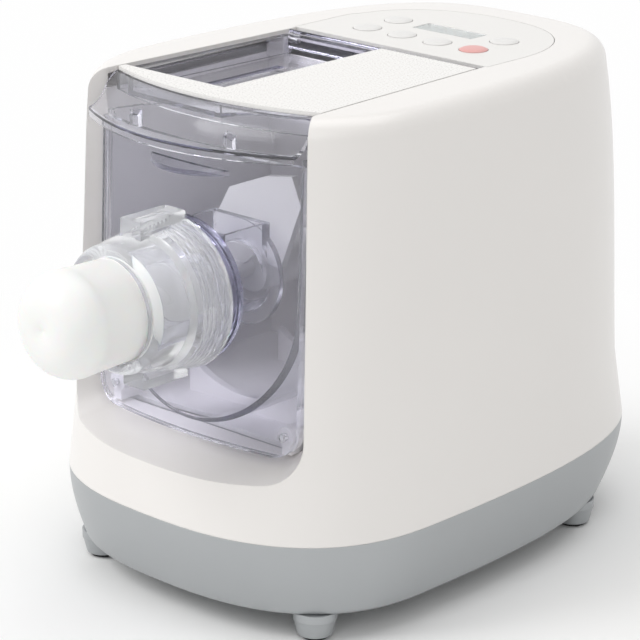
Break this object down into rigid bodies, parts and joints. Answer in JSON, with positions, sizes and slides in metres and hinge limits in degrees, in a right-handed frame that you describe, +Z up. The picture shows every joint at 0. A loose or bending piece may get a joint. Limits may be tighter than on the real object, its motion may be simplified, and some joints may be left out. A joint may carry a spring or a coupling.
{
  "type": "electric pasta maker",
  "caption": "Countertop electric pasta maker: tall rounded body, clear lid over a mixing bowl with a paddle, front extruder barrel with locking nut and end cap, push buttons on top.",
  "frame": {"origin": "centre of the bounding box at the level the feet stand on", "axes": "+Z up, extruder and its cap towards -Y, +X to the right seen from the front"},
  "size_m": [0.2182, 0.3745, 0.2612],
  "materials": {
    "shell_white": "satin",
    "cover_white": "satin",
    "deck_white": "satin",
    "base_silver": "satin metallic",
    "liner_grey": "satin",
    "clear_plastic": "clear plastic",
    "panel_clear": "clear plastic",
    "cap_white": "satin",
    "nut_clear": "clear plastic",
    "button_white": "satin",
    "button_pink": "satin",
    "lcd_grey": "clear window",
    "lcd_frame": "matte",
    "dark_rubber": "matte",
    "seal_rubber": "silicone",
    "steel": "machined",
    "screw_steel": "zinc plated",
    "gear_nylon": "moulded",
    "pinion_steel": "machined",
    "case_alloy": "cast",
    "bush_bronze": "sintered",
    "magnet_grey": "ferrite",
    "copper": "wound",
    "carbon": "matte",
    "board_green": "circuit board",
    "parts_dark": "matte",
    "paddle_white": "satin",
    "fan_black": "matte"
  },
  "bodies": {
    "machine": {"housing_shell": "shell_white", "base_shell": "base_silver", "feet": "base_silver", "foot_pads": "dark_rubber", "base_screws": "screw_steel", "chamber_liner": "liner_grey", "mixing_bowl": "clear_plastic", "bowl_screws": "screw_steel", "shaft_seal": "seal_rubber", "gearbox_front": "case_alloy", "gearbox_rear": "case_alloy", "gearbox_screws": "screw_steel", "output_bearings": "steel", "wheel_bushes": "bush_bronze", "motor_front_cap": "case_alloy", "motor_can": "steel", "motor_rear_cap": "case_alloy", "motor_screws": "screw_steel", "motor_magnets": "magnet_grey", "motor_bearings": "steel", "motor_brushes": "carbon", "control_panel": "deck_white", "button_switches": "parts_dark", "control_board": "board_green", "board_screws": "screw_steel", "display_window": "lcd_grey", "display_module": "lcd_frame", "power_board": "board_green", "power_components": "parts_dark", "lid_switch": "parts_dark", "cord_inlet": "dark_rubber", "hinge_pins": "steel"},
    "lid": {"lid": "clear_plastic", "lid_cover": "cover_white"},
    "switch_plunger": {"switch_plunger": "parts_dark"},
    "front_panel": {"front_panel": "panel_clear", "extruder_barrel": "clear_plastic", "barrel_seal": "seal_rubber"},
    "shaping_disc": {"shaping_disc": "cap_white"},
    "locking_nut": {"locking_nut": "nut_clear"},
    "end_cap": {"end_cap": "cap_white"},
    "mixer": {"output_shaft": "steel", "paddle": "paddle_white", "auger": "paddle_white", "output_gear": "gear_nylon"},
    "wheel": {"wheel_shaft": "steel", "wheel_gear": "gear_nylon", "wheel_pinion": "pinion_steel"},
    "rotor": {"rotor_shaft": "steel", "rotor_core": "magnet_grey", "rotor_windings": "copper", "commutator": "copper", "cooling_fan": "fan_black", "motor_pinion": "pinion_steel"},
    "left_outer_button": {"left_outer_button": "button_white"},
    "left_inner_button": {"left_inner_button": "button_white"},
    "right_inner_button": {"right_inner_button": "button_white"},
    "start_button": {"start_button": "button_pink"},
    "left_rear_button": {"left_rear_button": "button_white"},
    "right_rear_button": {"right_rear_button": "button_white"}
  },
  "joints": [
    {"name": "lid_hinge", "type": "hinge", "parent": "machine", "child": "lid", "pos_m": [0, 0.047, 0.255], "axis": [-1, 0, 0], "range_deg": [0, 95]},
    {"name": "plunger_slide", "type": "slide", "parent": "machine", "child": "switch_plunger", "axis": [0, 0, 1], "range_m": [0, 0.0022]},
    {"name": "front_panel_pull", "type": "slide", "parent": "machine", "child": "front_panel", "axis": [0, -1, 0], "range_m": [0, 0.12]},
    {"name": "disc_pull", "type": "slide", "parent": "front_panel", "child": "shaping_disc", "axis": [0, -1, 0], "range_m": [0, 0.06]},
    {"name": "nut_turn", "type": "hinge", "parent": "shaping_disc", "child": "locking_nut", "pos_m": [0, -0.121, 0.1646], "axis": [0, -1, 0], "range_deg": [0, 540]},
    {"name": "end_cap_pull", "type": "slide", "parent": "locking_nut", "child": "end_cap", "axis": [0, -1, 0], "range_m": [0, 0.06]},
    {"name": "mixer_spin", "type": "hinge", "parent": "machine", "child": "mixer", "pos_m": [0, 0.054, 0.1646], "axis": [0, -1, 0], "continuous": true},
    {"name": "wheel_spin", "type": "hinge", "parent": "machine", "child": "wheel", "pos_m": [0, 0.064, 0.11045], "axis": [0, -1, 0], "continuous": true},
    {"name": "rotor_spin", "type": "hinge", "parent": "machine", "child": "rotor", "pos_m": [0, 0.124, 0.0678], "axis": [0, -1, 0], "continuous": true},
    {"name": "left_outer_press", "type": "slide", "parent": "machine", "child": "left_outer_button", "axis": [0, 0, -1], "range_m": [0, 0.001], "stiffness_N_per_m": 300, "springref_m": -0.001},
    {"name": "left_inner_press", "type": "slide", "parent": "machine", "child": "left_inner_button", "axis": [0, 0, -1], "range_m": [0, 0.001], "stiffness_N_per_m": 300, "springref_m": -0.001},
    {"name": "right_inner_press", "type": "slide", "parent": "machine", "child": "right_inner_button", "axis": [0, 0, -1], "range_m": [0, 0.001], "stiffness_N_per_m": 300, "springref_m": -0.001},
    {"name": "start_press", "type": "slide", "parent": "machine", "child": "start_button", "axis": [0, 0, -1], "range_m": [0, 0.001], "stiffness_N_per_m": 300, "springref_m": -0.001},
    {"name": "left_rear_press", "type": "slide", "parent": "machine", "child": "left_rear_button", "axis": [0, 0, -1], "range_m": [0, 0.001], "stiffness_N_per_m": 300, "springref_m": -0.001},
    {"name": "right_rear_press", "type": "slide", "parent": "machine", "child": "right_rear_button", "axis": [0, 0, -1], "range_m": [0, 0.001], "stiffness_N_per_m": 300, "springref_m": -0.001}
  ],
  "couplings": [
    {"joint": "wheel_spin", "follows": "mixer_spin", "ratio": -5},
    {"joint": "rotor_spin", "follows": "mixer_spin", "ratio": 23.333},
    {"joint": "plunger_slide", "follows": "lid_hinge", "m_per_rad": 0.00132}
  ]
}
